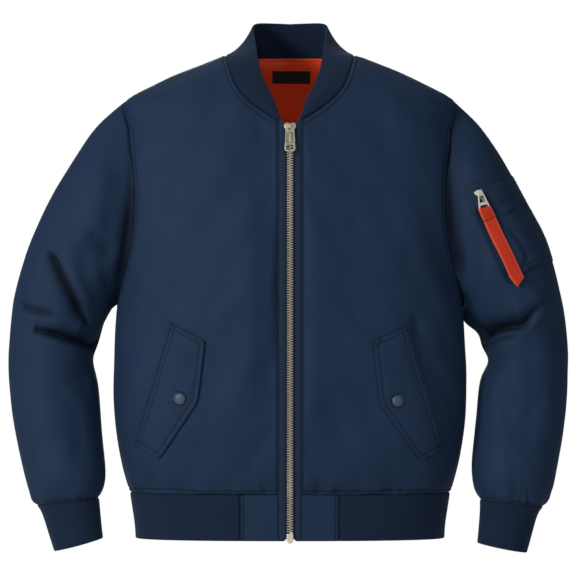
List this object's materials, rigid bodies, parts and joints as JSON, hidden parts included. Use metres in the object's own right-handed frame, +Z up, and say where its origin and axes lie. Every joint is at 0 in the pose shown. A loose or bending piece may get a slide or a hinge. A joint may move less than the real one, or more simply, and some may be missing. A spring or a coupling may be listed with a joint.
{
  "type": "bomber jacket",
  "caption": "Hollow padded bomber jacket with rib-knit collar, cuffs and hem, full-length front zip, slanted flap pockets and a zipped sleeve pocket with a ribbon pull.",
  "frame": {"origin": "middle of the neck's base, between the two points where the collar meets the shoulder seams", "axes": "+Z up, -Y the way the wearer faces, +X the wearer's left"},
  "size_m": [0.7826, 0.243, 0.7386],
  "materials": {
    "shell_cloth": "matt padded nylon twill",
    "rib_knit": "dense fine rib knit",
    "lining_cloth": "bright orange nylon",
    "label_cloth": "woven black, bare",
    "zip_tape": "woven herringbone tape",
    "zip_metal": "light brass, satin, lightly worn",
    "snap_enamel": "blue-grey enamel, satin"
  },
  "bodies": {
    "jacket": {"front_left": "shell_cloth", "front_right": "shell_cloth", "back": "shell_cloth", "sleeve_left": "shell_cloth", "sleeve_right": "shell_cloth", "hem_tab_left": "shell_cloth", "hem_tab_right": "shell_cloth", "pocket_flap_left": "shell_cloth", "pocket_flap_right": "shell_cloth", "sleeve_pocket": "shell_cloth", "collar": "rib_knit", "cuff_left": "rib_knit", "cuff_right": "rib_knit", "hem_rib": "rib_knit", "lining_back": "lining_cloth", "sleeve_ribbon": "lining_cloth", "neck_label": "label_cloth", "zip_tape_left": "zip_tape", "zip_tape_right": "zip_tape", "sleeve_zip_tape": "zip_tape", "zip_teeth_left": "zip_metal", "zip_teeth_right": "zip_metal", "zip_slider": "zip_metal", "zip_box": "zip_metal", "sleeve_zip_teeth": "zip_metal", "sleeve_slider": "zip_metal", "sleeve_puller": "zip_metal", "snap_left": "snap_enamel", "snap_right": "snap_enamel"},
    "pull_tab": {"zip_pull": "zip_metal"}
  },
  "joints": [
    {"name": "pull_tab_lift", "type": "hinge", "parent": "jacket", "child": "pull_tab", "pos_m": [0, -0.1012, -0.10083], "axis": [-1, 0, 0], "range_deg": [0, 160]}
  ]
}
